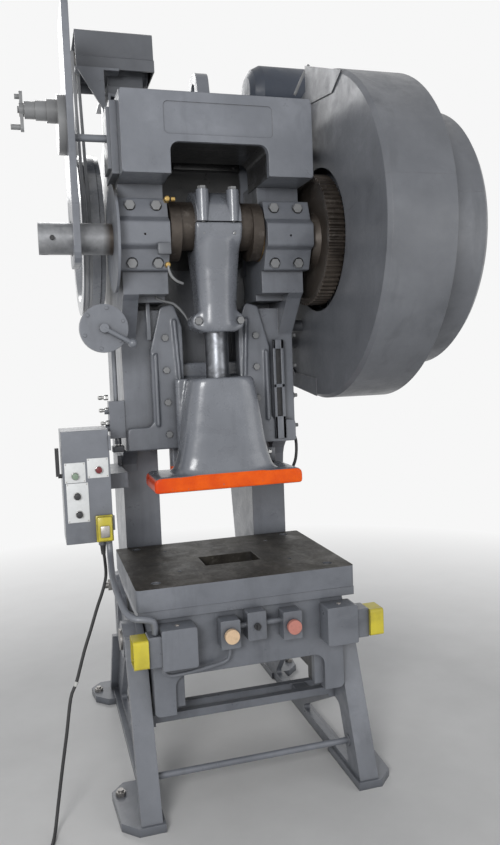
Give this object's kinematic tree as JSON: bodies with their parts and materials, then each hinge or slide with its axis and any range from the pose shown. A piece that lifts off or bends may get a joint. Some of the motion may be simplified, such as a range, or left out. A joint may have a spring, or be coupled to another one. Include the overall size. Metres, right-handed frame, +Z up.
{
  "type": "mechanical stamping press",
  "caption": "Back-geared inclinable mechanical press: C-frame on two legs, crank-driven slide over a bolster, drum-guarded gears, flywheel and control boxes.",
  "frame": {"origin": "on the floor, straight under the centre of the slide and the crankshaft's middle", "axes": "+X along the crankshaft towards the drum guard, +Y to the back of the press, +Z up"},
  "size_m": [1.869, 1.538, 2.9684],
  "materials": {
    "grey_paint": "glossy brushed-on machine paint",
    "dark_grey_paint": "worn satin paint on sheet steel",
    "machined_steel": "turned steel with grime",
    "worn_steel": "bright worn steel",
    "oiled_plate": "dark oily iron",
    "bronze": "turned bearing bronze",
    "black_rubber": "dull black rubber",
    "yellow_paint": "chipped bright paint",
    "cream_plastic": "moulded button, faded",
    "red_plastic": "moulded button, faded",
    "black_plastic": "moulded black plastic",
    "tank_paint": "dull blue-grey paint"
  },
  "bodies": {
    "legs": {"leg_left": "grey_paint", "leg_right": "grey_paint", "tie_rod": "grey_paint", "cross_frame": "grey_paint", "anchor_bolts": "machined_steel", "cord_coil": "black_rubber", "cord_plug": "black_plastic"},
    "frame": {"main_frame": "grey_paint", "bolster_plate": "oiled_plate", "frame_pins": "machined_steel", "bearing_cap_left": "grey_paint", "bearing_cap_right": "grey_paint", "main_bushes": "bronze", "frame_bolts": "machined_steel", "gib_left": "grey_paint", "gib_right": "grey_paint", "belt_guard": "grey_paint", "motor_bracket": "grey_paint", "motor_housing": "dark_grey_paint", "motor_cover": "dark_grey_paint", "drive_belts": "black_rubber", "drum_guard_upper": "dark_grey_paint", "drum_guard_lower": "dark_grey_paint", "speed_hub": "worn_steel", "dial_case": "grey_paint", "air_valve": "grey_paint", "air_tank": "tank_paint", "lifting_lug": "grey_paint", "palm_box_left": "grey_paint", "palm_box_right": "grey_paint", "button_boxes": "grey_paint", "palm_hood_left": "yellow_paint", "palm_hood_right": "yellow_paint", "control_conduit": "grey_paint", "panel_box": "grey_paint", "air_hose": "black_rubber", "power_cord": "black_rubber"},
    "crankshaft": {"crankshaft": "worn_steel", "brake_disc": "oiled_plate", "toothed_disc": "oiled_plate", "clutch_hub": "oiled_plate"},
    "pitman": {"pitman": "grey_paint", "pitman_strap": "grey_paint", "pitman_bolts": "machined_steel"},
    "screw": {"adjusting_screw": "worn_steel"},
    "slide": {"slide": "grey_paint"},
    "bull_gear": {"bull_gear": "oiled_plate"},
    "backshaft": {"backshaft": "worn_steel", "flywheel": "dark_grey_paint", "pinion": "oiled_plate"},
    "motor_rotor": {"motor_pulley": "machined_steel"},
    "dial_lever": {"dial_lever": "grey_paint"},
    "speed_crank": {"speed_crank": "worn_steel"},
    "palm_left": {"palm_button_left": "black_plastic"},
    "palm_right": {"palm_button_right": "black_plastic"},
    "stop_left": {"stop_button_left": "cream_plastic"},
    "stop_right": {"stop_button_right": "red_plastic"},
    "key": {"key_switch": "black_plastic"},
    "door": {"panel_door": "grey_paint"},
    "disconnect": {"disconnect_lever": "black_plastic"}
  },
  "joints": [
    {"name": "frame_incline", "type": "hinge", "parent": "legs", "child": "frame", "pos_m": [0, -0.11, 0.57], "axis": [-1, 0, 0], "range_deg": [0, 25]},
    {"name": "crank_spin", "type": "hinge", "parent": "frame", "child": "crankshaft", "pos_m": [0, 0, 2.08], "axis": [1, 0, 0], "continuous": true},
    {"name": "pitman_swing", "type": "hinge", "parent": "crankshaft", "child": "pitman", "pos_m": [0, 0, 2.131], "axis": [1, 0, 0], "continuous": true},
    {"name": "screw_turn", "type": "hinge", "parent": "pitman", "child": "screw", "pos_m": [0, 0, 1.7], "axis": [0, 0, 1], "range_deg": [-180, 180]},
    {"name": "ram_slide", "type": "slide", "parent": "frame", "child": "slide", "axis": [0, 0, 1], "range_m": [-0.102, 0]},
    {"name": "backshaft_spin", "type": "hinge", "parent": "frame", "child": "backshaft", "pos_m": [0, 0.502, 2.17], "axis": [1, 0, 0], "continuous": true},
    {"name": "gear_spin", "type": "hinge", "parent": "frame", "child": "bull_gear", "pos_m": [0, 0, 2.08], "axis": [1, 0, 0], "continuous": true},
    {"name": "motor_spin", "type": "hinge", "parent": "frame", "child": "motor_rotor", "pos_m": [0, 0.4, 2.865], "axis": [1, 0, 0], "continuous": true},
    {"name": "dial_lever_turn", "type": "hinge", "parent": "frame", "child": "dial_lever", "pos_m": [-0.45, -0.13, 1.74], "axis": [0, 1, 0], "range_deg": [-45, 45]},
    {"name": "speed_crank_turn", "type": "hinge", "parent": "frame", "child": "speed_crank", "pos_m": [-0.6, 0, 2.54], "axis": [1, 0, 0], "continuous": true},
    {"name": "palm_left_press", "type": "slide", "parent": "frame", "child": "palm_left", "axis": [1, 0, 0], "range_m": [0, 0.007], "stiffness_N_per_m": 800},
    {"name": "palm_right_press", "type": "slide", "parent": "frame", "child": "palm_right", "axis": [-1, 0, 0], "range_m": [0, 0.007], "stiffness_N_per_m": 800},
    {"name": "stop_left_press", "type": "slide", "parent": "frame", "child": "stop_left", "axis": [0, 1, 0], "range_m": [0, 0.006], "stiffness_N_per_m": 600},
    {"name": "stop_right_press", "type": "slide", "parent": "frame", "child": "stop_right", "axis": [0, 1, 0], "range_m": [0, 0.006], "stiffness_N_per_m": 600},
    {"name": "key_turn", "type": "hinge", "parent": "frame", "child": "key", "pos_m": [0.008, -0.4, 0.656], "axis": [0, 1, 0], "range_deg": [0, 90]},
    {"name": "door_swing", "type": "hinge", "parent": "frame", "child": "door", "pos_m": [-0.452, -0.114, 1.16], "axis": [0, 0, 1], "range_deg": [0, 110]},
    {"name": "disconnect_turn", "type": "hinge", "parent": "frame", "child": "disconnect", "pos_m": [-0.63, -0.045, 1.2], "axis": [1, 0, 0], "range_deg": [0, 90]}
  ],
  "couplings": [
    {"joint": "pitman_swing", "follows": "crank_spin", "ratio": -1},
    {"joint": "gear_spin", "follows": "backshaft_spin", "ratio": -0.21429},
    {"joint": "motor_spin", "follows": "backshaft_spin", "ratio": 7.21}
  ]
}
